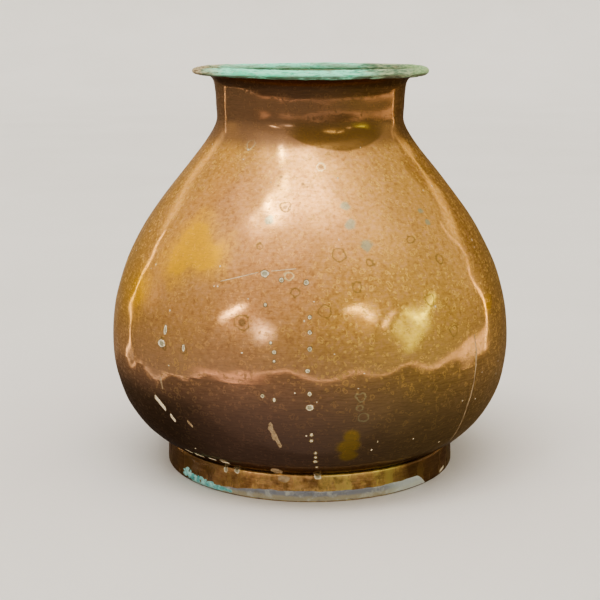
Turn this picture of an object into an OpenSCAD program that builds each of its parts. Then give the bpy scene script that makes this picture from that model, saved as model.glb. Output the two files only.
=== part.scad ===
// Beaten copper water jug: a wide, low belly narrowing to a short neck with a
// flared brim, standing on a low foot ring. It has no handle, spout or lid.
// It is raised from three pieces of sheet, lapped and brazed at the belly and
// at the neck. The lip is rolled round a wire, and the foot ring is soldered on.
// Origin: centre of the foot's resting face. +Z is up. Units are millimetres.

/* [Body] */
// Height from the resting face to the top of the lip
total_h = 250; // [240:1:262]
// Outside diameter of the belly at its widest
belly_d = 251.5; // [240:0.5:264]
// Height of the widest point, where the bowl meets the shoulder
belly_z = 80; // [72:1:90]
// Thickness of the copper sheet
sheet = 1.2; // [0.8:0.1:1.5]
// Length of the belly's lap joint, in steps of the shoulder's outline
belly_lap = 2; // [1:1:3]
// Length of the neck's lap joint, in steps of the shoulder's outline
neck_lap = 6; // [4:1:8]
// Length of the braze fillet along the sheet
braze = 1.6; // [1:0.1:2.4]

/* [Neck and lip] */
// Outside diameter of the neck at its waist
neck_d = 116.5; // [108:0.5:122]
// Height of the waist, where the shoulder meets the neck
waist_z = 219; // [212:1:221]
// Outside diameter of the lip
mouth_d = 146; // [144:0.5:154]
// Diameter of the rolled lip over its sheet
lip_d = 5.6; // [5:0.1:6.4]
// Radius of the bend from the collar into the brim
brim_bend = 6.5; // [4:0.5:7]

/* [Foot] */
// Outside diameter of the foot ring at the bottom
foot_d = 184; // [176:0.5:190]
// Height of the foot ring
foot_h = 17; // [14:0.5:20]
// Thickness of the foot ring's wall
foot_wall = 1.6; // [1.2:0.1:2]
// Height of the hem folded up inside the foot ring
hem_h = 7; // [5:0.5:9]
// Clearance under the middle of the bowl
bowl_lift = 6; // [4:0.5:8]

/* [Hidden] */
$fn = 180;

copper = "#9c5a34";
old_copper = "#7a4a2a";
brass_yellow = "#c49a45";
solder_grey = "#a8a69c";

// Cubic curves. Each has four control points, and t runs from 0 to 1 along it.
function cubic(c, t) = pow(1 - t, 3) * c[0] + 3 * t * pow(1 - t, 2) * c[1]
                     + 3 * t * t * (1 - t) * c[2] + pow(t, 3) * c[3];
function slope(c, t) = pow(1 - t, 2) * (c[1] - c[0]) + 2 * t * (1 - t) * (c[2] - c[1])
                     + t * t * (c[3] - c[2]);
// The point at t, moved by depth towards the inside of the jug
function inset(c, t, depth) = let (s = slope(c, t))
    cubic(c, t) + depth / norm(s) * [-s[1], s[0]];
// Points along a curve at a depth, from step a to step b of its n steps
function run(c, n, depth, a, b) = [for (i = [a : sign(b - a) : b]) inset(c, i / n, depth)];
// Points on an arc from angle a to angle b
function arc(centre, r, a, b, n) = [for (i = [0 : n])
    let (angle = a + (b - a) * i / n) centre + r * [cos(angle), sin(angle)]];
// The point at a distance from p on the way to q
function toward(p, q, distance) = p + distance * (q - p) / norm(q - p);
function polar(length, angle) = length * [cos(angle), sin(angle)];

belly_r = belly_d / 2;
neck_r = neck_d / 2;
foot_r = foot_d / 2;
foot_flare = 0.4;                  // how much wider the foot ring is at the bottom
joint_r = foot_r - foot_flare - foot_wall;  // the bowl rests in the foot ring here
joint_slope = 22.7;                // angle at which the bowl rises from the foot
joggle = 3;                        // length of the step in the sheet below a lap
arc_steps = 8;

// Outside of the bowl below the foot joint, from the middle outwards
base_steps = 20;
base_curve = [[0, bowl_lift], [joint_r / 2, bowl_lift],
              [joint_r, foot_h] - polar(22, joint_slope), [joint_r, foot_h]];
// Outside of the bowl from the foot joint to the belly
side_steps = 28;
side_curve = [[joint_r, foot_h], [joint_r, foot_h] + polar(12, joint_slope),
              [belly_r, belly_z - 40], [belly_r, belly_z]];
// Outside of the shoulder from the belly to the waist of the neck
shoulder_steps = 48;
shoulder_curve = [[belly_r, belly_z], [belly_r, belly_z + 76],
                  [neck_r, waist_z - 22.5], [neck_r, waist_z]];

// The lip is sheet rolled round a wire, and the brim runs into it from below
lip_r = lip_d / 2;
wire_r = lip_r - sheet;
lip_centre = [mouth_d / 2 - lip_r, total_h - lip_r];
roll_start = -90;
roll_end = 200;
roll_steps = 29;
// Outside of the collar, which widens a little before it bends into the brim
collar_steps = 12;
collar_r = neck_r + 1.6;
bend_centre = [collar_r + brim_bend, total_h - lip_d - brim_bend];
collar_h = bend_centre[1] - waist_z;
collar_curve = [[neck_r, waist_z], [neck_r, waist_z + 0.6 * collar_h],
                [collar_r, waist_z + 0.7 * collar_h], [collar_r, bend_centre[1]]];

// Radius of the foot ring's inner wall at height z
function foot_inner(z) = joint_r + foot_flare * (1 - z / foot_h);

module turned(outline) {
    rotate_extrude() polygon(outline);
}

// Lower half: one dished sheet whose upper edge steps in and laps the shoulder
module bowl() {
    color(copper) turned(concat(
        run(base_curve, base_steps, 0, 0, base_steps),
        run(side_curve, side_steps, 0, 1, side_steps),
        run(shoulder_curve, shoulder_steps, sheet, 0, belly_lap),
        run(shoulder_curve, shoulder_steps, 2 * sheet, belly_lap, 0),
        [[belly_r - sheet, belly_z - joggle]],
        run(side_curve, side_steps, sheet, side_steps - 2, 0),
        run(base_curve, base_steps, sheet, base_steps - 1, 0)));
}

// Upper half: one sheet from the belly seam in to the waist of the neck
module shoulder() {
    color(copper) turned(concat(
        run(shoulder_curve, shoulder_steps, 0, 0, shoulder_steps),
        run(shoulder_curve, shoulder_steps, sheet, shoulder_steps, 0)));
}

// Collar, brim and rolled lip: one sheet whose lower edge laps the shoulder
module neck() {
    lap_start = shoulder_steps - neck_lap;
    color(copper) turned(concat(
        run(shoulder_curve, shoulder_steps, sheet, lap_start, shoulder_steps),
        run(collar_curve, collar_steps, 0, 0, collar_steps - 1),
        arc(bend_centre, brim_bend, 180, 90, arc_steps),
        arc(lip_centre, lip_r, roll_start, roll_end, roll_steps),
        arc(lip_centre, wire_r, roll_end, roll_start, roll_steps),
        arc(bend_centre, brim_bend + sheet, 90, 180, arc_steps),
        run(collar_curve, collar_steps, sheet, collar_steps - 1, 2),
        run(shoulder_curve, shoulder_steps, 2 * sheet, shoulder_steps, lap_start)));
}

// Stiffening wire inside the rolled lip
module rim_wire() {
    color(brass_yellow) rotate_extrude() translate(lip_centre) circle(r = wire_r);
}

// Foot: an upright band with a rounded top edge and a hem turned up inside
module foot_ring() {
    edge = foot_wall / 2;
    hem_r = foot_r - 2 * foot_wall;
    color(old_copper) turned(concat(
        arc([hem_r + edge, edge], edge, 180, 270, arc_steps),
        arc([foot_r - edge, edge], edge, 270, 360, arc_steps),
        arc([joint_r, foot_h - foot_wall], foot_wall, 0, 90, arc_steps),
        [[foot_inner(hem_h), hem_h]],
        arc([hem_r + edge, hem_h - edge], edge, 90, 180, arc_steps)));
}

// Fillet of braze inside the jug, on the upper edge of the bowl
module belly_braze() {
    tip = inset(shoulder_curve, belly_lap / shoulder_steps, sheet);
    above = inset(shoulder_curve, (belly_lap + 1) / shoulder_steps, sheet);
    color(brass_yellow) turned([
        tip, toward(tip, above, braze),
        inset(shoulder_curve, belly_lap / shoulder_steps, 2 * sheet)]);
}

// Fillet of braze inside the jug, on the lower edge of the neck
module neck_braze() {
    lap_start = shoulder_steps - neck_lap;
    tip = inset(shoulder_curve, lap_start / shoulder_steps, sheet);
    below = inset(shoulder_curve, (lap_start - 1) / shoulder_steps, sheet);
    color(brass_yellow) turned([
        toward(tip, below, braze), tip,
        inset(shoulder_curve, lap_start / shoulder_steps, 2 * sheet)]);
}

// Fillet of solder in the corner between the bowl's underside and the foot ring
module foot_solder() {
    start = inset(base_curve, 1 - 1 / base_steps, 0);
    leg_z = foot_h - 4;
    color(solder_grey) turned([start, [joint_r, foot_h], [foot_inner(leg_z), leg_z]]);
}

bowl();
shoulder();
neck();
rim_wire();
foot_ring();
belly_braze();
neck_braze();
foot_solder();
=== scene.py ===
"""Looks for the beaten copper water jug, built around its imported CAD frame.

Each piece of sheet metal is turned from the section of its own CAD node, with the
slight unevenness that planishing leaves. Deposits are laid on that same surface.
Lengths are in metres unless a name says mm. Azimuth 0 faces -Y and grows towards +X.
"""
import math
import random
from collections import defaultdict, namedtuple

import bmesh
import bpy
import numpy as np
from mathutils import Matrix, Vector, noise


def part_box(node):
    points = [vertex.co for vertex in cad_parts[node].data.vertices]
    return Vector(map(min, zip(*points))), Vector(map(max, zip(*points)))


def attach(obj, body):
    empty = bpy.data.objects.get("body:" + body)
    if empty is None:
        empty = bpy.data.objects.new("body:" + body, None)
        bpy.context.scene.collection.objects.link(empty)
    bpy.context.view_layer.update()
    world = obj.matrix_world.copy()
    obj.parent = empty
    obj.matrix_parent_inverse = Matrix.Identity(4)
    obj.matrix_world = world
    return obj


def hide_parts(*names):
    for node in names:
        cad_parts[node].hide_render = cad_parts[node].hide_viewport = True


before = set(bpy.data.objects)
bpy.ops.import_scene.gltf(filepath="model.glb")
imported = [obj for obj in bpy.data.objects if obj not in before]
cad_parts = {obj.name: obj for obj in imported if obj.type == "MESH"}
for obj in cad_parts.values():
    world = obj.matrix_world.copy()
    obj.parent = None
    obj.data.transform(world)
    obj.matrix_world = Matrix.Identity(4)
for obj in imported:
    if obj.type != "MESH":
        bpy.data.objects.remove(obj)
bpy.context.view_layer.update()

MM = 0.001
TAU = 2 * math.pi
IN_DEGREES = 180 / math.pi

# -------- sizes from the frame

foot_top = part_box("foot_ring")[1].z
foot_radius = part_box("foot_ring")[1].x
belly_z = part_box("shoulder")[0].z
belly_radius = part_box("shoulder")[1].x
waist_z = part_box("shoulder")[1].z
jug_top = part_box("neck")[1].z
wire_low, wire_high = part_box("rim_wire")
wire_radius = (wire_high.z - wire_low.z) / 2
lip_z = (wire_high.z + wire_low.z) / 2
lip_centre = wire_high.x - wire_radius
lip_radius = jug_top - lip_z
CRUST_ROOM = 0.35 * MM  # the bare metal of the lip is smaller by this, to leave room for its crust
bare_lip = lip_radius - CRUST_ROOM


# -------- outlines

def section(node):
    """The outline of a turned CAD node as (radius, height) points in order, and whether it closes."""
    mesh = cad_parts[node].data
    place = {v.index: (round(v.co.x, 6), round(v.co.z, 6)) for v in mesh.vertices
             if abs(v.co.y) < 1e-7 and v.co.x > -1e-7}
    links = defaultdict(set)
    for edge in mesh.edges:
        a, b = (place.get(i) for i in edge.vertices)
        if a and b and a != b:
            links[a].add(b)
            links[b].add(a)
    ends = sorted((p for p in links if len(links[p]) == 1), key=lambda p: p[1])
    path = [ends[0] if ends else min(links)]
    while True:
        onward = [p for p in sorted(links[path[-1]]) if p not in path]
        if not onward:
            return np.array(path), not ends
        path.append(onward[0])


def smoothed(points, closed, spacing, corner=25):
    """More points along an outline: curved through gentle turns, sharp at its corners."""
    count = len(points)
    last = count if closed else count - 1

    def at(i):
        """The point at an index, wrapped round or held at the ends."""
        return points[i % count] if closed else points[min(max(i, 0), count - 1)]

    def heading(i, side):
        """The direction at a point: the mean of both sides, or at a corner this side's own."""
        before, after = at(i) - at(i - 1), at(i + 1) - at(i)
        if not before.any() or not after.any():
            return side / np.linalg.norm(side)
        turn = abs(math.degrees(math.atan2(before[0] * after[1] - before[1] * after[0], before @ after)))
        mean = side if turn > corner else before / np.linalg.norm(before) + after / np.linalg.norm(after)
        return mean / np.linalg.norm(mean)

    out = []
    for i in range(last):
        a, b = at(i), at(i + 1)
        length = np.linalg.norm(b - a)
        lead, trail = heading(i, b - a) * length, heading(i + 1, b - a) * length
        for t in np.arange(0, 1, 1 / max(1, round(length / spacing))):
            out.append((2 * t**3 - 3 * t**2 + 1) * a + (t**3 - 2 * t**2 + t) * lead
                       + (3 * t**2 - 2 * t**3) * b + (t**3 - t**2) * trail)
    if not closed:
        out.append(at(count - 1))
    return np.array(out)


def reach(outlines, heights):
    """The largest radius at which any of the outlines crosses each height."""
    best = np.zeros(len(heights))
    for line in outlines:
        for (r0, z0), (r1, z1) in zip(line[:-1], line[1:]):
            low, high = min(z0, z1), max(z0, z1)
            if high - low > 1e-9:
                inside = (heights >= low) & (heights <= high)
                best[inside] = np.maximum(best[inside], r0 + (r1 - r0) * (heights[inside] - z0) / (z1 - z0))
    return best


# -------- the hand-beaten surface

def bump(x, middle, width):
    """A smooth bump, 1 at the middle and near 0 beyond the width."""
    return np.exp(-((x - middle) / width) ** 2)


def turn_from(azimuth, degrees):
    """The turn from a direction in degrees to an azimuth in radians, in radians either way."""
    return np.angle(np.exp(1j * (azimuth - math.radians(degrees))))


def waves(seed, count, orders, lengths):
    """Random long waves round and up the jug, as (turns, phase, rate up, phase, weight)."""
    draw = random.Random(seed)
    return [(draw.randint(*orders), draw.uniform(0, TAU), TAU / draw.uniform(*lengths),
             draw.uniform(0, TAU), draw.uniform(0.5, 1)) for _ in range(count)]


BODY_WAVES = waves(11, 22, (3, 30), (24 * MM, 60 * MM))
NECK_WAVES = waves(5, 12, (3, 14), (14 * MM, 40 * MM))
BODY_WAVE_DEPTH = 0.28 * MM
NECK_WAVE_DEPTH = 0.05 * MM
# Dents by the waist: azimuth in degrees, height above it in mm, width in degrees, height in mm, depth in mm
NECK_DENTS = [(16, -12, 20, 7, 1.7), (-45, 3, 12, 8, 0.3),
              (120, 4, 16, 8, 0.7), (190, -6, 20, 7, 1.0), (250, 3, 14, 8, 0.6)]
# Where the neck is drawn in all round: height above the waist, height and depth, in mm
NECK_DRAWN_IN = [(-1, 6, 0.4), (17, 8, 1.0)]
BELLY_DRAWN_IN = 0.45 * MM  # the belly is the widest part, so this keeps its waves inside the true size
BELLY_DRAWN_TALL = 30 * MM
# How far the lip dips below true in mm, and the waves of the dip as turns, phase and depth in mm
LIP_DIP = 0.45
LIP_WAVES = [(2, 0.6, 0.25), (5, 2, 0.2)]
# Where the lip is worn: azimuth and width in degrees, and the share of its height that is lost
LIP_WEAR = [(-88, 28, 0.32), (90, 25, 0.16)]
LIP_STARTS = 14 * MM  # height above the waist where the neck begins to follow the lip's dips
LIP_FOLLOWS = 12 * MM  # height over which it comes to follow them fully


def summed(wave_list, azimuth, height):
    """The sum of the waves at a place, about 1 at most."""
    return sum(weight * np.sin(turns * azimuth + p) * np.sin(rate * height + q)
               for turns, p, rate, q, weight in wave_list) / math.sqrt(len(wave_list))


def unevenness(azimuth, height):
    """How far the beaten sheet stands out from true, in metres, at an azimuth in radians."""
    on_neck = bump(height, waist_z + 8 * MM, 20 * MM)
    on_foot = bump(height, 0, foot_top)
    out = BODY_WAVE_DEPTH * summed(BODY_WAVES, azimuth, height) * (1 - 0.8 * on_foot) * (1 - 0.9 * on_neck)
    out = out + NECK_WAVE_DEPTH * summed(NECK_WAVES, azimuth, height) * on_neck
    for dent_azimuth, above, wide, tall, depth in NECK_DENTS:
        away = np.degrees(turn_from(azimuth, dent_azimuth))
        out = out - depth * MM * bump(away, 0, wide) * bump(height, waist_z + above * MM, tall * MM)
    for above, tall, depth in NECK_DRAWN_IN:
        out = out - depth * MM * bump(height, waist_z + above * MM, tall * MM)
    return out - BELLY_DRAWN_IN * bump(height, belly_z, BELLY_DRAWN_TALL)


def lip_wave(azimuth):
    """How far the lip stands above true, in metres. It was rolled by hand, and it dips all round."""
    waved = (depth * np.sin(turns * azimuth + phase) for turns, phase, depth in LIP_WAVES)
    return -sum(waved, LIP_DIP) * MM


def lip_flattening(azimuth):
    """The share of the lip's height that is lost where it is worn."""
    return sum(lost * bump(turn_from(azimuth, middle), 0, math.radians(wide))
               for middle, wide, lost in LIP_WEAR)


def placed(azimuth, radius, height):
    """Points on the jug, from azimuth and from the true radius and height."""
    near_lip = np.clip((height - waist_z - LIP_STARTS) / LIP_FOLLOWS, 0, 1)
    rolled = near_lip * near_lip * (3 - 2 * near_lip)
    off_axis = np.clip(radius / foot_radius * 2, 0, 1)
    r = radius + unevenness(azimuth, height) * (1 - rolled) * off_axis
    z = height + (lip_wave(azimuth) + (lip_z - height) * lip_flattening(azimuth)) * rolled
    return np.stack([r * np.sin(azimuth), -r * np.cos(azimuth), z + 0 * azimuth], -1)


# -------- building meshes

def skin(name, columns, around, closed):
    """A mesh from columns of points, joined right around and, if closed, along each column too."""
    count, rows = columns.shape[:2]
    index = np.arange(count * rows).reshape(count, rows)
    following = np.roll(index, -1, 0) if around else index[1:]
    current = index if around else index[:-1]
    if closed:
        quads = np.stack([current, following, np.roll(following, -1, 1), np.roll(current, -1, 1)], -1)
    else:
        quads = np.stack([current[:, :-1], following[:, :-1], following[:, 1:], current[:, 1:]], -1)
    faces = quads.reshape(-1, 4).tolist()
    if closed and not around:
        faces += [index[0].tolist(), index[-1][::-1].tolist()]
    mesh = bpy.data.meshes.new(name)
    mesh.from_pydata(columns.reshape(-1, 3).tolist(), [], faces)
    return mesh


def as_piece(name, mesh, material, sharp=40):
    """An object of the mesh, welded, facing outwards, smooth but for its sharp edges, riding on the jug."""
    work = bmesh.new()
    work.from_mesh(mesh)
    bmesh.ops.remove_doubles(work, verts=work.verts, dist=1e-6)
    bmesh.ops.recalc_face_normals(work, faces=work.faces)
    work.to_mesh(mesh)
    work.free()
    mesh.shade_smooth()
    mesh.set_sharp_from_angle(angle=math.radians(sharp))
    mesh.materials.append(material)
    piece = bpy.data.objects.new(name, mesh)
    bpy.context.scene.collection.objects.link(piece)
    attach(piece, "root")
    return piece


def turned(name, outline, closed, columns=360):
    """A mesh turned from an outline, with the unevenness of the beaten metal."""
    azimuth = np.linspace(0, TAU, columns, endpoint=False)[:, None]
    return skin(name, placed(azimuth, outline[None, :, 0], outline[None, :, 1]), True, closed)


# -------- node helpers

def add(tree, kind, inputs=None, **settings):
    """A shader node. Each input is a value or the socket that feeds it."""
    made = tree.nodes.new("ShaderNode" + kind)
    for name, value in settings.items():
        setattr(made, name, value)
    for name, value in (inputs or {}).items():
        if isinstance(value, bpy.types.NodeSocket):
            tree.links.new(value, made.inputs[name])
        else:
            made.inputs[name].default_value = value
    return made


def mixed(tree, amount, first, second):
    """Colour between first and second."""
    made = add(tree, "Mix", {0: amount, 6: first, 7: second}, data_type="RGBA")
    return made.outputs[2]


def tinted(tree, colour, mask, amount, tint):
    """The colour with an amount of a tint where the mask is 1."""
    return mixed(tree, times(tree, mask, amount), colour, tint)


def step(tree, value, low, high, to_low=0.0, to_high=1.0):
    """A value carried smoothly from to_low at low to to_high at high."""
    inputs = {"Value": value, "From Min": low, "From Max": high, "To Min": to_low, "To Max": to_high}
    return add(tree, "MapRange", inputs, interpolation_type="SMOOTHSTEP").outputs[0]


def maths(tree, operation, first, second):
    """One Math node. An operation on one value leaves the second unused."""
    return add(tree, "Math", {0: first, 1: second}, operation=operation).outputs[0]


def grain(tree, where, scale, detail=3.0, roughness=0.55):
    """Noise from 0 to 1. The scale is in lumps per metre."""
    inputs = {"Vector": where, "Scale": scale, "Detail": detail, "Roughness": roughness}
    return add(tree, "TexNoise", inputs).outputs[0]


def new_material(name):
    """A material with its tree, its Principled shader and the coordinates of the jug."""
    material = bpy.data.materials.new(name)
    material.use_nodes = True
    tree = material.node_tree
    shader = tree.nodes["Principled BSDF"]
    where = add(tree, "TexCoord").outputs["Object"]
    return material, tree, shader, where


def rgb(red, green, blue):
    """A linear colour from 0 to 255 screen values."""
    return tuple((v / 255) ** 2.2 for v in (red, green, blue)) + (1.0,)


def linear(red, green, blue, brightness=1.0):
    """A linear colour, times a brightness."""
    return brightness * red, brightness * green, brightness * blue, 1.0


def parts_of(tree, vector):
    """The x, y and z sockets of a vector."""
    return add(tree, "SeparateXYZ", {0: vector}).outputs


def times(tree, *values):
    """The product of values and sockets."""
    total = values[0]
    for value in values[1:]:
        total = maths(tree, "MULTIPLY", total, value)
    return total


def plus(tree, *values):
    """The sum of values and sockets."""
    total = values[0]
    for value in values[1:]:
        total = maths(tree, "ADD", total, value)
    return total


def azimuth_at(tree, x, y):
    """The azimuth in radians of a point, from its x and y."""
    return maths(tree, "ARCTAN2", x, times(tree, y, -1.0))


def centred(tree, noise_value, amount):
    """Noise brought from between 0 and 1 to both sides of 0, times an amount."""
    return times(tree, maths(tree, "SUBTRACT", noise_value, 0.5), amount)


def set_bump(tree, shader, heights, distance):
    """Fine relief on a shader: a height of 1 stands out by the distance."""
    inputs = {"Height": heights, "Distance": distance, "Strength": 1.0}
    tree.links.new(add(tree, "Bump", inputs).outputs[0], shader.inputs["Normal"])


def spot_distance(tree, where, azimuth, height):
    """How far the shaded point is from a spot on the jug, given in degrees and mm."""
    centre = on_surface(math.radians(azimuth), height * MM, 0).tolist()
    return add(tree, "VectorMath", {0: where, 1: centre}, operation="DISTANCE").outputs["Value"]


def stain(tree, where, spots, wobble):
    """A mask, 1 on round spots with ragged edges. Each spot is azimuth, height in mm and radius in mm."""
    total = 0.0
    for azimuth, height, radius in spots:
        ragged = plus(tree, spot_distance(tree, where, azimuth, height), wobble)
        spot = step(tree, ragged, 0.6 * radius * MM, 1.2 * radius * MM, 1, 0)
        total = maths(tree, "MAXIMUM", total, spot)
    return total


def ring_stain(tree, where, spots, wobble):
    """A mask, 1 on the thin tide line round each spot."""
    total = 0.0
    for azimuth, height, radius in spots:
        ragged = plus(tree, spot_distance(tree, where, azimuth, height), wobble)
        off_line = maths(tree, "ABSOLUTE", maths(tree, "SUBTRACT", ragged, radius * MM), 0)
        total = maths(tree, "MAXIMUM", total, step(tree, off_line, 0.1 * MM, 0.7 * MM, 1, 0))
    return total


def rings_in_cells(tree, where, scale, radius, line, share):
    """A mask, 1 on small rings scattered over a share of the cells of a pattern."""
    cells = add(tree, "TexVoronoi", {"Vector": where, "Scale": scale, "Randomness": 1.0})
    off_line = maths(tree, "ABSOLUTE", maths(tree, "SUBTRACT", cells.outputs["Distance"], radius), 0)
    chance = add(tree, "SeparateColor", {0: cells.outputs["Color"]}).outputs[0]
    on_line = step(tree, off_line, line / 3, line, 1, 0)
    return times(tree, on_line, step(tree, chance, 1 - share, 1.02 - share))


# -------- the outside as one surface

SHEETS = ("bowl", "shoulder", "neck", "foot_ring")
sections = {node: section(node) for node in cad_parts}
HEIGHTS = np.linspace(0, waist_z + 18 * MM, 600)
RADII = reach([sections[node][0] for node in SHEETS], HEIGHTS)


def on_surface(azimuth, height, lift):
    """Points on the outside of the jug, raised from the metal by lift. All three may be arrays."""
    azimuth, height, lift = np.broadcast_arrays(azimuth, height, lift)
    rise = np.interp(height + MM, HEIGHTS, RADII) - np.interp(height - MM, HEIGHTS, RADII)
    slope = rise / (2 * MM)
    outward = np.stack([np.sin(azimuth), -np.cos(azimuth), -slope], -1) / np.hypot(1, slope)[..., None]
    return placed(azimuth, np.interp(height, HEIGHTS, RADII), height) + outward * lift[..., None]


# -------- materials

# Stained patches: azimuth in degrees, height and radius in mm
GOLD_PATCHES = [(-39, 153, 14), (-33, 147, 12), (-43, 143, 12), (-60, 120, 12), (60, 112, 4)]
GOLDEN_OVAL = [(11.3, 49, 5.5), (11, 42, 7), (11.5, 35, 6)]
TIDE_RINGS = [(-18, 114, 4.2), (-9, 174, 2.8), (9, 150, 3.6), (-4, 131, 2.4), (18, 145, 2), (13, 133, 3),
              (4, 121, 3.4), (-42.5, 96, 3), (-35, 95, 2), (28, 233, 3), (-14, 233, 2.6), (17, 240, 1.6),
              (35, 123, 3), (42, 104, 3), (34, 155, 2.4), (43, 143, 2.6), (-16, 154, 1.8)]
PALE_RINGS = [(5, 195, 2.2), (-33, 206, 3), (13, 73, 2.6), (14, 61, 2.8), (13, 67, 1.6), (-6, 139, 2)]
SMUDGES = [(-14, 167, 2.6), (13, 175, 3), (14, 165, 3.4), (18, 154, 3.4), (44, 169, 2), (44.5, 163, 1.8)]
DARK_DOTS = [(5, 195, 1.2), (-12.5, 189.5, 1), (-13, 185, 0.9), (-3, 186, 1), (-1, 184.5, 0.7),
             (-9, 174, 1.4), (-18, 114, 2.4)]
# The back, which carries the same kind of marks at random
mark = random.Random(8)
GOLD_PATCHES += [(mark.uniform(90, 270), mark.uniform(60, 180), mark.uniform(8, 18)) for _ in range(5)]
TIDE_RINGS += [(mark.uniform(70, 290), mark.uniform(50, 200), mark.uniform(1.6, 4)) for _ in range(12)]


def copper_parts(tree, where):
    """Masks that the body and the foot share: broad and fine mottling, small rings and fine scratches."""
    broad = grain(tree, where, 9, 4)
    fine = grain(tree, where, 420, 4, 0.65)
    drift = add(tree, "TexNoise", {"Vector": where, "Scale": 210.0, "Detail": 2.0}).outputs["Color"]
    pushed = add(tree, "VectorMath", {0: drift, 1: (6 * MM,) * 3}, operation="MULTIPLY").outputs[0]
    warped = add(tree, "VectorMath", {0: where, 1: pushed}, operation="ADD").outputs[0]
    rings = maths(tree, "MAXIMUM", rings_in_cells(tree, warped, 210, 0.26, 0.09, 0.45),
                  rings_in_cells(tree, warped, 380, 0.24, 0.15, 0.5))
    stretched = add(tree, "Mapping", {"Vector": where, "Scale": (1.0, 1.0, 9.0)}).outputs[0]
    return broad, fine, rings, grain(tree, stretched, 140, 3, 0.7)


def finish_copper(tree, shader, colour, roughness, relief, dullness):
    """Copper that is partly polished and partly dull, mixed by dullness."""
    set_bump(tree, shader, relief, 0.12 * MM)
    normal = shader.inputs["Normal"].links[0].from_socket
    shader.inputs["Metallic"].default_value = 1.0
    shader.inputs["Specular Tint"].default_value = rgb(226, 190, 140)
    shader.inputs["Coat Weight"].default_value = 0.4
    shader.inputs["Coat Roughness"].default_value = 0.08
    tree.links.new(colour, shader.inputs["Base Color"])
    tree.links.new(roughness, shader.inputs["Roughness"])
    rough = {"Base Color": colour, "Metallic": 1.0, "Roughness": 0.6, "Normal": normal}
    dull = add(tree, "BsdfPrincipled", rough)
    blend = add(tree, "MixShader", {0: dullness, 1: shader.outputs[0], 2: dull.outputs[0]})
    tree.links.new(blend.outputs[0], tree.nodes["Material Output"].inputs["Surface"])


def dent_patina_and_painted_reflection(tree, x, y, height):
    """A mask, 1 in the dark lens at the bottom of the big dent, partly olive patina and partly a painted
    dark reflection: crisp below, fading upwards.
    """
    dent_azimuth, above, wide = NECK_DENTS[0][:3]
    azimuth = times(tree, azimuth_at(tree, x, y), IN_DEGREES)
    away = times(tree, maths(tree, "SUBTRACT", azimuth, dent_azimuth + 1.0), 1 / (1.4 * wide))
    bottom = plus(tree, times(tree, away, away, 8 * MM), waist_z + (above - 4.5) * MM)
    return times(tree, step(tree, maths(tree, "SUBTRACT", height, bottom), 0, 1.5 * MM),
                 step(tree, height, waist_z - 6 * MM, waist_z + 6 * MM, 1, 0),
                 step(tree, maths(tree, "ABSOLUTE", away, 0), 0.75, 1.25, 1, 0))


def plain_copper(tree, broad, fine, rightwards):
    """Mottled old copper, pinkish here and ochre there, more ochre at the right."""
    colour = mixed(tree, step(tree, broad, 0.35, 0.65), rgb(214, 159, 104), rgb(210, 162, 86))
    colour = tinted(tree, colour, rightwards, 0.7, rgb(212, 168, 86))
    colour = mixed(tree, step(tree, fine, 0.46, 0.66, 0, 0.6), colour, rgb(232, 180, 128))
    return mixed(tree, step(tree, fine, 0.48, 0.34, 0, 0.5), colour, rgb(162, 114, 72))


def golden_patches(tree, where, fine, wobble, ragged):
    """A mask on the golden patches, solid in the middle and breaking up into specks around it."""
    patches = stain(tree, where, GOLD_PATCHES, plus(tree, wobble, ragged))
    wider = [(azimuth, height, 1.5 * radius) for azimuth, height, radius in GOLD_PATCHES]
    around = stain(tree, where, wider, times(tree, wobble, 1.8))
    return maths(tree, "MAXIMUM", times(tree, patches, step(tree, fine, 0.3, 0.6, 0.7, 1.0)),
                 times(tree, around, step(tree, fine, 0.35, 0.6, 0.1, 0.6)))


def aged(tree, colour, x, height, rightwards):
    """The colour with ochre flanks, a rosier lower half and painted shade darkening the lower left end."""
    flank = step(tree, maths(tree, "ABSOLUTE", x, 0), 0.72 * belly_radius, 0.96 * belly_radius)
    ochre = mixed(tree, rightwards, rgb(214, 168, 84), rgb(198, 160, 96))
    colour = tinted(tree, colour, flank, 0.7, ochre)
    low = step(tree, height, belly_z + 40 * MM, belly_z - 25 * MM)
    low_colour = mixed(tree, rightwards, rgb(202, 160, 134), rgb(210, 174, 124))
    colour = tinted(tree, colour, low, 0.85, low_colour)
    # painted shade: the lower left of the belly is darkened brown
    low_left_painted_shade = times(tree, step(tree, x, -0.3 * belly_radius, -0.7 * belly_radius),
                     step(tree, height, belly_z - 6 * MM, belly_z - 22 * MM))
    return tinted(tree, colour, low_left_painted_shade, 0.7, rgb(100, 80, 56))


def speckled(tree, colour, broad, rings, height, rightwards):
    """The colour with small golden rings, in patches and fewer on the lower half."""
    uneven = plus(tree, broad, times(tree, rightwards, 0.10))
    amount = times(tree, step(tree, uneven, 0.40, 0.62, 0.12, 0.6),
                   step(tree, height, belly_z - 25 * MM, belly_z + 30 * MM, 0.18, 1.0))
    return mixed(tree, times(tree, rings, amount), colour, rgb(242, 200, 116))


def marked(tree, colour, where, tide, ragged):
    """The colour with its tide lines, dark and pale, its greenish smudges and its dark dots."""
    colour = tinted(tree, colour, tide, 0.65, rgb(124, 104, 58))
    pale_tide = ring_stain(tree, where, PALE_RINGS, ragged)
    colour = tinted(tree, colour, pale_tide, 0.8, rgb(246, 226, 170))
    smudge = stain(tree, where, SMUDGES, ragged)
    colour = tinted(tree, colour, smudge, 0.5, rgb(138, 170, 150))
    dots = stain(tree, where, DARK_DOTS, times(tree, ragged, 0.3))
    return tinted(tree, colour, dots, 0.6, rgb(92, 80, 50))


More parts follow.
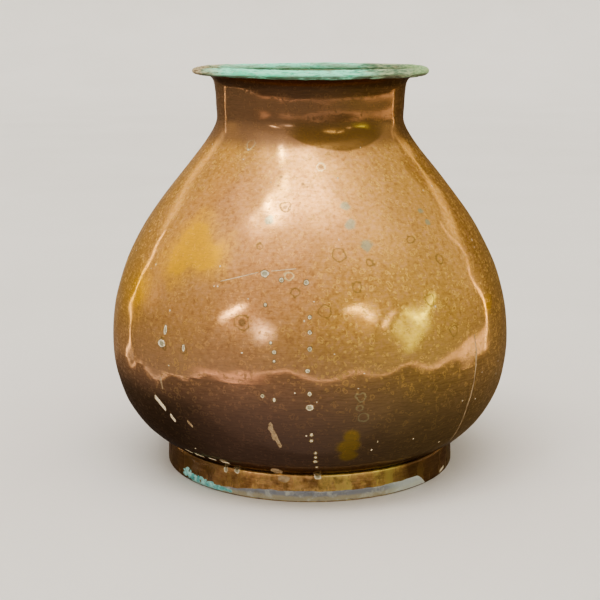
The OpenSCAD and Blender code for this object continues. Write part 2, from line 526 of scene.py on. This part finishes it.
def with_painted_neck_and_crease_shade(tree, colour, x, y, height, on_neck, rightwards, wobble):
    """The colour, darkened brown on the neck as painted shade under the brim, darker in the big dent, partly
    olive patina and partly a painted dark reflection, and almost black in the crease at the foot, painted
    shade.
    """
    # painted shade: the neck is darkened brown where the brim shades it from above
    neck_shade_colour = mixed(tree, rightwards, rgb(146, 112, 84), rgb(144, 108, 62))
    colour = tinted(tree, colour, on_neck, 0.9, neck_shade_colour)
    # partly olive patina, partly a painted dark reflection in the lens of the big dent
    lens_patina_and_reflection = dent_patina_and_painted_reflection(tree, x, y, plus(tree, height, times(tree, wobble, 0.2)))
    colour = tinted(tree, colour, lens_patina_and_reflection, 0.85, rgb(116, 88, 44))
    # painted shade: almost black in the crease between the bowl and the foot
    crease_painted_shade = step(tree, height, foot_top + 12 * MM, foot_top + 2 * MM)
    return tinted(tree, colour, crease_painted_shade, 0.95, rgb(44, 30, 18))


def body_material():
    """Old beaten copper: pinkish, ochre at the flanks, brown at the neck where shade is painted, green on
    the brim.
    """
    material, tree, shader, where = new_material("copper")
    broad, fine, rings, scratches = copper_parts(tree, where)
    x, y, height = parts_of(tree, where)[:3]
    wobble = centred(tree, grain(tree, where, 55, 4), 14 * MM)
    ragged = centred(tree, grain(tree, where, 240, 3), 5 * MM)
    gold = golden_patches(tree, where, fine, wobble, ragged)
    golden_oval = stain(tree, where, GOLDEN_OVAL, times(tree, wobble, 0.3))
    tide = ring_stain(tree, where, TIDE_RINGS, ragged)
    rightwards = step(tree, x, -0.1 * belly_radius, 0.6 * belly_radius)
    on_neck = step(tree, height, waist_z - 19 * MM, waist_z - 9 * MM)
    facing_up = parts_of(tree, add(tree, "TexCoord").outputs["Normal"])[2]
    brim = times(tree, step(tree, facing_up, 0.1, 0.4), step(tree, height, lip_z - 8 * MM, lip_z - 4 * MM))

    colour = plain_copper(tree, broad, fine, rightwards)
    colour = tinted(tree, colour, gold, 0.95, rgb(255, 196, 54))
    colour = aged(tree, colour, x, height, rightwards)
    colour = tinted(tree, colour, golden_oval, 0.85, rgb(250, 206, 104))
    colour = speckled(tree, colour, broad, rings, height, rightwards)
    colour = marked(tree, colour, where, tide, ragged)
    colour = with_painted_neck_and_crease_shade(tree, colour, x, y, height, on_neck, rightwards, wobble)
    green = mixed(tree, step(tree, fine, 0.4, 0.6), rgb(110, 150, 124), rgb(150, 160, 130))
    colour = tinted(tree, colour, brim, 0.9, green)

    hammer = grain(tree, where, 75, 1.0)
    pits = grain(tree, where, 330, 2.0)
    hammered = times(tree, hammer, step(tree, on_neck, 0, 1, 0.55, 0.2))
    relief = plus(tree, hammered, times(tree, scratches, 0.09), times(tree, pits, 0.11))
    smear = step(tree, grain(tree, where, 22, 5, 0.65), 0.35, 0.7, 0.05, 0.13)
    spoilt = plus(tree, maths(tree, "MAXIMUM", rings, tide), golden_oval, times(tree, brim, 4))
    roughness = plus(tree, smear, times(tree, spoilt, 0.12), times(tree, on_neck, 0.02))
    worn = step(tree, scratches, 0.3, 0.7, 0.42, 0.62)
    dullness = plus(tree, worn, times(tree, spoilt, 0.2), times(tree, on_neck, 0.05))
    finish_copper(tree, shader, colour, roughness, relief, dullness)
    return material


def foot_material():
    """The foot's copper is duller: brown at the left, mottled gold at the right, and darker at both sides
    where shade is painted.
    """
    material, tree, shader, where = new_material("foot_copper")
    _, fine, rings, scratches = copper_parts(tree, where)
    x = parts_of(tree, where)[0]
    runs = add(tree, "Mapping", {"Vector": where, "Scale": (1.0, 1.0, 0.35)}).outputs[0]
    blotches = grain(tree, runs, 110, 4, 0.6)
    golden = times(tree, step(tree, x, -0.1 * foot_radius, 0.3 * foot_radius, 0.25, 1.0),
                   step(tree, blotches, 0.36, 0.68))
    colour = mixed(tree, step(tree, fine, 0.35, 0.65), rgb(236, 188, 130), rgb(206, 158, 102))
    colour = mixed(tree, golden, colour, rgb(248, 222, 132))
    colour = tinted(tree, colour, rings, 0.5, rgb(236, 204, 120))
    stained = step(tree, grain(tree, where, 70, 5, 0.6), 0.5, 0.62, 0, 0.6)
    colour = mixed(tree, stained, colour, rgb(128, 86, 50))
    # painted shade: the foot is darkened brown towards both sides
    aside = step(tree, maths(tree, "ABSOLUTE", x, 0), 0.3 * foot_radius, 0.75 * foot_radius)
    colour = tinted(tree, colour, aside, 0.9, rgb(104, 76, 48))
    relief = plus(tree, blotches, times(tree, scratches, 0.06))
    roughness = step(tree, blotches, 0.35, 0.65, 0.16, 0.34)
    finish_copper(tree, shader, colour, roughness, relief, step(tree, scratches, 0.3, 0.7, 0.5, 0.8))
    return material


def metal_material(name, colour, other, roughness):
    """Plain dull metal with a little variation, for wire, braze and solder."""
    material, tree, shader, where = new_material(name)
    patch = grain(tree, where, 160, 4)
    tree.links.new(mixed(tree, step(tree, patch, 0.35, 0.65), colour, other), shader.inputs["Base Color"])
    tree.links.new(step(tree, patch, 0.3, 0.7, roughness, roughness + 0.2), shader.inputs["Roughness"])
    shader.inputs["Metallic"].default_value = 1.0
    set_bump(tree, shader, grain(tree, where, 500, 3), 0.15 * MM)
    return material


def verdigris_material():
    """Dry copper salts in streaks along the lip: mint, beige in places, tan or olive at the ends."""
    material, tree, shader, where = new_material("verdigris")
    x, y, height = parts_of(tree, where)[:3]
    turn = azimuth_at(tree, x, y)
    flat = add(tree, "CombineXYZ", {0: x, 1: y}).outputs[0]
    out = add(tree, "VectorMath", {0: flat}, operation="LENGTH").outputs["Value"]
    along = add(tree, "CombineXYZ", {0: times(tree, turn, 0.5 * lip_centre), 1: times(tree, height, 3.0),
                                     2: times(tree, out, 3.0)}).outputs[0]
    lumps = grain(tree, along, 330, 5, 0.65)
    streaks = grain(tree, along, 130, 4, 0.6)
    patches = grain(tree, along, 45, 3)
    colour = mixed(tree, step(tree, lumps, 0.30, 0.53), rgb(58, 190, 144), rgb(160, 255, 222))
    colour = mixed(tree, step(tree, streaks, 0.56, 0.68, 0, 0.55), colour, rgb(146, 156, 124))
    colour = mixed(tree, step(tree, streaks, 0.42, 0.32, 0, 0.6), colour, rgb(54, 112, 84))
    colour = mixed(tree, step(tree, patches, 0.56, 0.66, 0, 0.7), colour, rgb(76, 236, 184))
    colour = mixed(tree, step(tree, patches, 0.42, 0.34, 0, 0.4), colour, rgb(164, 152, 120))
    crumbs = grain(tree, along, 700, 2)
    colour = mixed(tree, step(tree, crumbs, 0.62, 0.70, 0, 0.8), colour, rgb(226, 236, 214))
    blurred = plus(tree, x, centred(tree, streaks, 30 * MM))
    left = step(tree, blurred, -0.68 * lip_centre, -0.96 * lip_centre)
    right = step(tree, blurred, 0.3 * lip_centre, 0.6 * lip_centre)
    tip = step(tree, x, 0.8 * lip_centre, 0.92 * lip_centre)
    tan = mixed(tree, step(tree, lumps, 0.4, 0.6), rgb(122, 86, 54), rgb(206, 176, 136))
    pale_olive = mixed(tree, step(tree, lumps, 0.4, 0.6), rgb(86, 76, 50), rgb(172, 164, 122))
    colour = tinted(tree, colour, left, 0.9, tan)
    colour = tinted(tree, colour, right, 0.8, pale_olive)
    colour = tinted(tree, colour, tip, 0.4, rgb(168, 212, 140))
    under = times(tree, step(tree, height, lip_z - 0.4 * MM, lip_z - 2.2 * MM),
                  step(tree, streaks, 0.36, 0.50))
    colour = tinted(tree, colour, under, 0.85, rgb(66, 56, 38))
    tree.links.new(colour, shader.inputs["Base Color"])
    shader.inputs["Roughness"].default_value = 0.8
    set_bump(tree, shader, lumps, 0.5 * MM)
    return material


def wash_material():
    """Tin on the foot: cream below with a painted bluish-grey reflection above, turquoise at one end and a
    painted bluish-white highlight at the other.
    """
    material, tree, shader, where = new_material("tin_wash")
    x, _, height = parts_of(tree, where)[:3]
    patch = grain(tree, where, 200, 4)
    ragged = plus(tree, height, centred(tree, patch, 4 * MM))
    # cream tin below; the bluish grey above is a painted reflection
    colour = mixed(tree, step(tree, ragged, 2.5 * MM, 4.5 * MM), rgb(160, 152, 128), rgb(128, 130, 136))
    colour = mixed(tree, step(tree, patch, 0.5, 0.7, 0, 0.6), colour, rgb(196, 196, 182))
    colour = mixed(tree, step(tree, patch, 0.42, 0.3, 0, 0.6), colour, rgb(112, 108, 104))
    # painted highlight: the right end is paler, bluish white
    pale_end_painted_highlight = step(tree, x, 0.45 * foot_radius, 0.6 * foot_radius, 0, 0.6)
    green_end = step(tree, x, -0.5 * foot_radius, -0.62 * foot_radius, 0, 0.7)
    colour = mixed(tree, pale_end_painted_highlight, colour, rgb(196, 206, 200))
    colour = mixed(tree, green_end, colour, rgb(118, 176, 168))
    tree.links.new(colour, shader.inputs["Base Color"])
    shader.inputs["Metallic"].default_value = 0.2
    shader.inputs["Roughness"].default_value = 0.45
    set_bump(tree, shader, patch, 0.3 * MM)
    return material


def deposit_material(name, colour, other, roughness=0.6):
    """A dried deposit: pale, uneven and dull."""
    material, tree, shader, where = new_material(name)
    patch = grain(tree, where, 260, 4)
    tree.links.new(mixed(tree, step(tree, patch, 0.35, 0.65), colour, other), shader.inputs["Base Color"])
    shader.inputs["Roughness"].default_value = roughness
    set_bump(tree, shader, grain(tree, where, 700, 3), 0.1 * MM)
    return material


copper = body_material()
foot_copper = foot_material()
verdigris = verdigris_material()
tin_wash = wash_material()
wire_brass = metal_material("wire_brass", rgb(196, 160, 88), rgb(150, 116, 60), 0.35)
braze_brass = metal_material("braze_brass", rgb(204, 170, 96), rgb(140, 110, 60), 0.45)
solder = metal_material("solder", rgb(176, 174, 164), rgb(130, 128, 120), 0.5)
mineral = deposit_material("mineral", rgb(226, 212, 184), rgb(184, 170, 138))
mineral_centre = deposit_material("mineral_centre", rgb(164, 158, 130), rgb(132, 126, 100))
faint_mineral = deposit_material("faint_mineral", rgb(170, 146, 114), rgb(136, 112, 82))
tide_mark = deposit_material("tide_mark", rgb(116, 98, 62), rgb(96, 78, 48), 0.5)
bloom = deposit_material("bloom", rgb(80, 158, 156), rgb(160, 212, 206), 0.8)


# -------- sheet metal

def bare(outline):
    """The neck's outline with the outside of its rolled lip drawn in, to leave room for the crust."""
    from_centre = outline - (lip_centre, lip_z)
    distance = np.linalg.norm(from_centre, axis=1)
    on_roll = (distance > (wire_radius + lip_radius) / 2) & (distance < lip_radius * 1.02)
    drawn = outline.copy()
    drawn[on_roll] = (lip_centre, lip_z) + from_centre[on_roll] * (bare_lip / distance[on_roll])[:, None]
    return drawn


# How each node looks: its spacing along the outline in mm, its material and its slot
LOOKS = {"bowl": (2.2, copper, "copper"), "shoulder": (2.2, copper, "copper"),
         "neck": (1.0, copper, "copper"), "foot_ring": (0.8, foot_copper, "foot_copper"),
         "rim_wire": (0.5, wire_brass, "wire"), "belly_braze": (0.5, braze_brass, "braze"),
         "neck_braze": (0.5, braze_brass, "braze"), "foot_solder": (0.5, solder, "solder")}
for node, (spacing, material, slot) in LOOKS.items():
    points, closed = sections[node]
    outline = smoothed(points, closed, spacing * MM)
    if node == "neck":
        outline = bare(outline)
    piece = as_piece(node + "_visual", turned(node + "_visual", outline, closed), material)
    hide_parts(node)


# -------- crust on the lip

def lip_crust():
    """Verdigris round the rolled lip: thick where the noise is high, almost none where it is low."""
    lump_scale, patch_scale = 170, 45  # the noise, in lumps per metre
    thinnest, mean, lumpy, patchy, wear = 0.02, 0.20, 0.28, 0.12, 0.3  # thicknesses in mm
    worn_azimuth, worn_width = LIP_WEAR[0][0], 0.4
    azimuth = np.linspace(0, TAU, 900, endpoint=False)[:, None]
    roll = np.radians(np.linspace(-110, 250, 40, endpoint=False))[None, :]
    ring = lip_centre + lip_radius * np.cos(roll)
    rise = lip_radius * np.sin(roll) + 0 * azimuth
    spots = np.stack([ring * np.sin(azimuth), -ring * np.cos(azimuth), rise * 2], -1)
    lumps = np.array([[noise.fractal(Vector(spot) * lump_scale, 0.7, 2.1, 5) for spot in column]
                      for column in spots])
    patches = np.array([[noise.noise(Vector(spot) * patch_scale) for spot in column] for column in spots])
    worn = wear * bump(turn_from(azimuth, worn_azimuth), 0, worn_width)
    thick = np.clip(mean + lumpy * lumps + patchy * patches - worn, thinnest, CRUST_ROOM / MM) * MM
    radius = bare_lip + thick
    columns = placed(azimuth + 0 * roll, lip_centre + radius * np.cos(roll), lip_z + radius * np.sin(roll))
    return skin("lip_crust", columns, True, True)


crust = as_piece("lip_crust", lip_crust(), verdigris, sharp=180)


# -------- dried drops

DROP_EDGE = 0.02  # how far a drop's edge lies below the metal's surface, in mm
DROP_ROOT = 0.3  # how deep a drop's hidden underside lies in the metal, in mm
# Drops that ran down the front: azimuth, height, width and height in mm
DRIP_RUN = [(-1, 136, 3, 3), (0, 118, 2.2, 2.2), (0, 110, 2.4, 2.4), (0, 101, 2.8, 2.8),
            (-0.5, 89, 2.6, 2.6), (0, 76, 2.4, 2.8), (0, 68, 4.8, 4.2), (0.5, 51, 2, 2.4),
            (0.5, 47, 2, 2.2), (1.7, 38, 1.6, 2), (1.8, 34.5, 1.6, 1.8), (1.8, 31, 2.4, 2.2),
            (2.3, 26, 1.6, 1.4)]
# Other drops: azimuth, height, width and height in mm
DROPS = [(-13, 140, 5.5, 4), (-8, 137, 2.8, 2.8), (-12, 124, 1.8, 2.2), (-10, 104, 1.6, 2),
         (-9, 99, 2.4, 2.4), (-9, 94, 1.6, 1.8), (-12, 74, 2.4, 2.4), (-9, 72, 1.8, 3),
         (-43, 96, 6.5, 4.8), (-42, 104, 3, 6), (-35, 96, 2.4, 4.4), (3, 16, 5, 4.4),
         (-33, 15, 3.4, 5), (-28, 15.6, 4.4, 4)]
FAINT_DROPS = [(-9.5, 14, 9, 5), (-11.5, 20, 8, 7), (-30, 23.5, 6, 4), (-10.2, 55, 3.4, 8),
               (-9.6, 50, 3, 8)]
# Runs of drops that merge into a line: two ends as azimuth and height, and a width in mm
STREAKS = [((-46.4, 62), (-43.4, 56.6), 2.6), ((-41.4, 52.6), (-40.6, 50.4), 2.2),
           ((-46, 25.5), (-44, 24), 1), ((-42, 24), (-39, 23), 1), ((-36, 23.4), (-34, 22.8), 1.2),
           ((-31, 22.8), (-28.6, 22.4), 1.5), ((62, 2), (66, 3), 1.5),
           ((-26, 134.5), (-15, 140.5), 0.3), ((-11, 141.5), (-4, 143), 0.3)]
FAINT_STREAKS = [((-35.4, 51.5), (-34.4, 49), 1.6), ((-43.4, 75), (-42.9, 70), 1.6),
                 ((-9.6, 52), (-8.2, 43), 2.4), ((50.3, 98), (50.9, 89), 1.2),
                 ((50.9, 89), (50.7, 80), 1.6), ((50.7, 80), (50, 68), 1.0), ((50, 68), (49.4, 56), 1.3),
                 ((49.4, 56), (49.9, 42), 0.9), ((49.9, 42), (50.9, 31), 0.8)]


def streak(start, end, width):
    """Drops in a row, close enough to run together."""
    steps = max(2, round(math.dist(start, end) / (0.35 * width)))
    return [(start[0] + (end[0] - start[0]) * i / steps, start[1] + (end[1] - start[1]) * i / steps,
             width, 1.5 * width) for i in range(steps + 1)]


def grown(drops, by):
    """The same drops, larger by a length in mm."""
    return [(azimuth, height, width + by, tall + by) for azimuth, height, width, tall in drops]


def drop_centres(drops):
    """The darker middles of the drops that are large enough to show one."""
    share, least_width = 0.7, 2.1
    return [(azimuth, height, share * width, share * tall) for azimuth, height, width, tall in drops
            if width > least_width]


def drops_mesh(name, drops, thick, seed):
    """Closed low domes on the metal with slightly ragged outlines."""
    draw = random.Random(seed)
    spokes, rings = 18, 4
    places, faces = [], []
    for azimuth, height, width, tall in drops:
        first = len(places)
        radius = float(np.interp(height * MM, HEIGHTS, RADII)) / MM
        wobble = [draw.uniform(0.88, 1.12) for _ in range(spokes)]
        places += [(math.radians(azimuth), height, thick), (math.radians(azimuth), height, -DROP_ROOT)]
        for ring in range(1, rings + 2):
            out = min(ring, rings) / rings
            lift = thick * (1 - out**3) - DROP_EDGE if ring <= rings else -DROP_ROOT
            for spoke in range(spokes):
                across = out * wobble[spoke] * width / 2 * math.cos(TAU * spoke / spokes)
                up = out * wobble[spoke] * tall / 2 * math.sin(TAU * spoke / spokes)
                places.append((math.radians(azimuth) + across / radius, height + up, lift))
        for spoke in range(spokes):
            here, following = first + 2 + spoke, first + 2 + (spoke + 1) % spokes
            last = rings * spokes
            faces += [(first, here, following), (first + 1, following + last, here + last)]
            for ring in range(rings):
                a, b = ring * spokes, (ring + 1) * spokes
                faces.append((here + a, here + b, following + b, following + a))
    azimuths, heights, lifts = np.array(places).T
    points = on_surface(azimuths, heights * MM, lifts * MM)
    mesh = bpy.data.meshes.new(name)
    mesh.from_pydata(points.tolist(), [], faces)
    return mesh


def joined(streaks):
    """The drops of all the streaks."""
    return [drop for start, end, width in streaks for drop in streak(start, end, width)]


def random_specks(draw, count):
    """Small drops anywhere on the body."""
    return [(draw.uniform(-180, 180), draw.uniform(30, 205), draw.uniform(0.6, 1.3), draw.uniform(0.6, 1.5))
            for _ in range(count)]


def foot_blooms(draw, count):
    """Crumbs of green salt along the foot's lower edge at the left, reaching higher at the far end."""
    far, near = -58, -30
    azimuths = [draw.uniform(far, near) for _ in range(count)]
    return [(azimuth, draw.triangular(2, 8 - 0.2 * (azimuth - far), 2), draw.uniform(1.4, 4),
             draw.uniform(1, 2.8)) for azimuth in azimuths]


scatter = random.Random(21)
specks = random_specks(scatter, 110)
# What each deposit is made of, how thick it is in mm and its material
DEPOSITS = {"mineral_drops": (DRIP_RUN + DROPS + specks, 0.12, mineral),
            "drop_centres": (drop_centres(DRIP_RUN + DROPS), 0.2, mineral_centre),
            "streaks": (joined(STREAKS), 0.12, mineral),
            "faint_streaks": (joined(FAINT_STREAKS) + FAINT_DROPS, 0.08, faint_mineral),
            "tide_marks": (grown(DRIP_RUN + DROPS, 1.3), 0.05, tide_mark),
            "foot_blooms": (foot_blooms(scatter, 120), 0.25, bloom)}
for name, (drops, thick, material) in DEPOSITS.items():
    deposit = as_piece(name, drops_mesh(name, drops, thick, 3), material)


# -------- residue on the foot

def foot_wash():
    """A thin grey wash of tin along the lower front of the foot, ragged along its top."""
    left_end, right_end = -61, 50  # azimuths in degrees
    left_slope, right_slope = 45, 5  # degrees over which its top rises from each end
    full_height, ragged, edge, thickness = 6.8, 0.5, 0.5, 0.12  # in mm
    depths = np.linspace(0.8, 9.5, 32)
    degrees = np.linspace(left_end - 1, right_end + 2, 260)
    from_left = (degrees - left_end) / left_slope
    from_right = np.sqrt(np.maximum(right_end - degrees, 0) / right_slope)
    top = full_height * np.clip(np.minimum(from_left, from_right), 0, 1)
    rough = np.array([[noise.fractal(Vector((a / 5, d / 4, 2)), 0.8, 2, 4) for d in depths]
                      for a in degrees])
    lift = np.clip((top[:, None] + ragged * rough - depths) / edge, -1, 1) * thickness * MM
    azimuth = np.radians(degrees)[:, None]
    outer = on_surface(azimuth, depths * MM, lift)
    inner = on_surface(azimuth, depths * MM, -0.5 * MM)
    return skin("foot_wash", np.concatenate([outer, inner[:, ::-1]], 1), False, True)


wash = as_piece("foot_wash", foot_wash(), tin_wash)


# -------- floor, light and camera

BACKDROP = linear(0.80, 0.79, 0.77)


def studio_floor():
    """A pale round floor that sweeps up into a backdrop on all sides."""
    material, tree, shader, where = new_material("pale_floor")
    cloudy = step(tree, grain(tree, where, 3, 3), 0.3, 0.7)
    tone = mixed(tree, cloudy, BACKDROP, linear(0.83, 0.82, 0.80))
    tree.links.new(tone, shader.inputs["Base Color"])
    shader.inputs["Roughness"].default_value = 0.9
    set_bump(tree, shader, grain(tree, where, 900, 2), 0.1 * MM)
    flat, sweep, wall = 3.5, 1.5, 4
    bend = [(flat + sweep * math.sin(turn), sweep * (1 - math.cos(turn)))
            for turn in np.linspace(0, math.pi / 2, 17)]
    profile = np.array([(0.001, 0)] + bend + [(flat + sweep, wall)])
    azimuth = np.linspace(0, TAU, 96, endpoint=False)[:, None]
    columns = np.stack([profile[:, 0] * np.sin(azimuth), profile[:, 0] * np.cos(azimuth),
                        profile[:, 1] + 0 * azimuth], -1)
    mesh = skin("floor", columns, True, False)
    mesh.shade_smooth()
    mesh.materials.append(material)
    floor = bpy.data.objects.new("floor", mesh)
    bpy.context.scene.collection.objects.link(floor)
    floor.visible_glossy = False
    floor.visible_shadow = False


def softbox(name, azimuth, elevation, distance, width, height, brightness, colour):
    """An area light that faces the jug, placed by angles in degrees. It doesn't show in reflections."""
    lamp = bpy.data.lights.new(name, "AREA")
    lamp.shape = "RECTANGLE"
    lamp.size, lamp.size_y = width, height
    lamp.energy = brightness * math.pi * width * height
    lamp.color = colour
    around, up = math.radians(azimuth), math.radians(elevation)
    towards = Vector((math.sin(around) * math.cos(up), -math.cos(around) * math.cos(up), math.sin(up)))
    thing = bpy.data.objects.new(name, lamp)
    bpy.context.scene.collection.objects.link(thing)
    thing.location = Vector((0, 0, jug_top / 2)) + towards * distance
    thing.rotation_euler = towards.to_track_quat("Z", "Y").to_euler()
    thing.visible_camera = False
    thing.visible_glossy = False


Panel = namedtuple("Panel", "azimuth elevation tilt wide tall side_blur blur brightness colour")
# Soft panels of light round the jug. Angles, half sizes and blurs are in degrees; tilt is rise per azimuth.
PANELS = [Panel(152, 5, 0, 24, 40, 12, 12, 0.08, (1.0, 1.0, 1.0)),
          Panel(152, 52, 0, 24, 34, 12, 16, 0.38, (1.0, 0.86, 0.62)),
          Panel(-42, 17, 0.2, 8, 3, 24, 18, 2.2, (1.0, 0.86, 0.76)),
          Panel(-45, 18.5, 0.5, 5, 0.8, 12, 8, 22, (1.0, 0.96, 0.90)),
          Panel(-27, 12, 0, 3, 2, 13, 12, 9, (0.94, 0.93, 1.05)),
          Panel(30, 18, 0, 8, 3, 20, 16, 1.9, (1.0, 0.84, 0.66)),
          Panel(30, 22, 0, 8, 0.8, 10, 7, 14, (1.0, 0.92, 0.78)),
          Panel(47, 14, 0, 2, 2, 5, 5, 7, (1.0, 0.9, 0.85)),
          Panel(64, 9, 0.3, 9, 5, 16, 14, 3.0, (0.82, 1.0, 0.36)),
          Panel(66, 14, 0.32, 9, 0.8, 10, 7, 12, (0.80, 1.0, 0.36)),
          Panel(-125, 3.5, 0, 0.8, 17.5, 1.2, 1.5, 7, (1.0, 0.90, 0.84)),
          Panel(-136, 21, 0, 9, 2.2, 6, 7, 2.4, (1.0, 0.92, 0.8)),
          Panel(134, 21.5, 0, 11, 1.6, 6, 6, 2.2, (1.0, 0.92, 0.8)),
          Panel(-112, 30, 0, 10, 24, 12, 12, 1.0, (1.0, 0.9, 0.66)),
          Panel(120, 8, 0, 1.0, 19, 1.2, 1.2, 8, (1.0, 0.84, 0.80)),
          Panel(112, 30, 0, 10, 22, 12, 12, 0.8, (1.0, 0.95, 0.85)),
          Panel(-45, -12.5, -0.06, 18, 0.9, 24, 1.2, 2.2, (1.0, 0.72, 0.62)),
          Panel(108, -9, 0.08, 12, 2.2, 3, 2, 2.6, (1.0, 0.78, 0.74)),
          Panel(78, -10, 0.05, 20, 1.2, 30, 1.5, 2.2, (1.0, 0.76, 0.70))]

# The window overhead: where its middle is across, half its size across and ahead, blur, brightness, colour
OVERHEAD = [(-0.05, 0.9, 0.3, 0.7, 2.0, (1.0, 0.93, 0.88)),
            (-0.10, 0.34, 0.12, 0.3, 6.0, (1.0, 0.93, 0.88)),
            (-0.40, 0.05, 0.04, 0.15, 36.0, (0.97, 0.98, 0.86))]
OVERHEAD_AHEAD = 0.35  # where its middle is ahead


def soft_edge(tree, value, middle, half, blur):
    """1 within half of the middle, falling to 0 over the blur."""
    away = maths(tree, "ABSOLUTE", maths(tree, "SUBTRACT", value, middle), 0)
    return step(tree, away, half - blur / 2, half + blur / 2, 1, 0)


def table_edge(tree, azimuth):
    """The elevation of the table's edge, which is nearer, and so lower, at the left, with a corner there."""
    return plus(tree, step(tree, azimuth, -80, -58, -17.5, -13.5), step(tree, azimuth, -58, -20, 0, 2),
                step(tree, azimuth, -111, -108, 2.2, 0))


def room_light(tree, azimuth, elevation, over_line, y):
    """The dim room over the dark table, darker behind the jug."""
    room = mixed(tree, step(tree, over_line, 0, 70), linear(0.42, 0.41, 0.39), linear(0.80, 0.76, 0.72))
    behind = mixed(tree, step(tree, elevation, 0, 24), linear(0.16, 0.16, 0.16), linear(0.95, 0.88, 0.74))
    room = mixed(tree, step(tree, y, 0.0, 0.7, 0, 0.6), room, behind)
    aside = step(tree, maths(tree, "ABSOLUTE", azimuth, 0), 35, 80)
    table = mixed(tree, aside, linear(0.11, 0.115, 0.13), linear(0.05, 0.05, 0.055))
    return mixed(tree, step(tree, over_line, -0.5, 0.5), table, room)


def with_edge_line(tree, light, azimuth, over_line):
    """The light with a thin bright line along the table's edge, brighter and thinner at the left."""
    ends = step(tree, maths(tree, "ABSOLUTE", azimuth, 0), 122, 127, 1, 0)
    in_front = step(tree, azimuth, -90, -60)
    along = maths(tree, "MAXIMUM", soft_edge(tree, over_line, 0.3, 0.2, 0.6),
                  times(tree, soft_edge(tree, over_line, 0.6, 0.6, 0.8), in_front))
    bright_line = mixed(tree, in_front, linear(6.0, 5.0, 4.2), linear(2.4, 1.85, 1.65))
    return mixed(tree, times(tree, along, ends), light, bright_line)


def with_panels(tree, light, azimuth, elevation):
    """The light with the soft panels in it."""
    for panel in PANELS:
        off_centre = times(tree, maths(tree, "SUBTRACT", azimuth, panel.azimuth), panel.tilt)
        level = maths(tree, "SUBTRACT", elevation, off_centre)
        mask = times(tree, soft_edge(tree, azimuth, panel.azimuth, panel.wide, panel.side_blur),
                     soft_edge(tree, level, panel.elevation, panel.tall, panel.blur))
        light = mixed(tree, mask, light, linear(*panel.colour, panel.brightness))
    return light


def with_overhead(tree, light, x, y, z):
    """The light with the long window overhead. Its sizes are tangents of the angle from straight up."""
    up = maths(tree, "MAXIMUM", z, 0.05)
    across, ahead = maths(tree, "DIVIDE", x, up), maths(tree, "DIVIDE", times(tree, y, -1.0), up)
    for centre, half_across, half_ahead, blur, brightness, colour in OVERHEAD:
        mask = times(tree, soft_edge(tree, across, centre, half_across, 2 * blur),
                     soft_edge(tree, ahead, OVERHEAD_AHEAD, half_ahead, blur), step(tree, z, 0.3, 0.5))
        light = mixed(tree, mask, light, linear(*colour, brightness))
    return light


def studio_world():
    """A dim room with soft panels of light, dark below the table's edge. The camera sees the backdrop."""
    world = bpy.data.worlds.new("studio")
    bpy.context.scene.world = world
    world.use_nodes = True
    tree = world.node_tree
    tree.nodes.clear()
    x, y, z = parts_of(tree, add(tree, "TexCoord").outputs["Generated"])[:3]
    azimuth = times(tree, azimuth_at(tree, x, y), IN_DEGREES)
    elevation = times(tree, add(tree, "Math", {0: z}, operation="ARCSINE").outputs[0], IN_DEGREES)
    over_line = maths(tree, "SUBTRACT", elevation, table_edge(tree, azimuth))
    light = room_light(tree, azimuth, elevation, over_line, y)
    light = with_edge_line(tree, light, azimuth, over_line)
    light = with_panels(tree, light, azimuth, elevation)
    light = with_overhead(tree, light, x, y, z)
    seen = add(tree, "LightPath").outputs["Is Camera Ray"]
    background = add(tree, "Background", {"Color": mixed(tree, seen, light, BACKDROP)})
    add(tree, "OutputWorld", {"Surface": background.outputs[0]})


def front_camera():
    """The camera stands in front at a little over the jug's height and looks slightly down."""
    back, up = 3.195 * jug_top, 1.099 * jug_top
    looking_down, turned_left = 12.22, 0.45  # in degrees
    lens = bpy.data.cameras.new("camera")
    lens.sensor_width = 36
    lens.lens = 76.5
    camera = bpy.data.objects.new("camera", lens)
    bpy.context.scene.collection.objects.link(camera)
    camera.location = (0, -back, up)
    camera.rotation_euler = (math.radians(90 - looking_down), 0, math.radians(turned_left))
    bpy.context.scene.camera = camera


studio_floor()
studio_world()
front_camera()
softbox("overhead", azimuth=-24, elevation=71, distance=1.75, width=1.9, height=0.45, brightness=1.6,
        colour=(1.0, 0.95, 0.93))
bpy.context.scene.view_settings.view_transform = "AgX"
bpy.context.scene.view_settings.look = "AgX - Medium High Contrast"
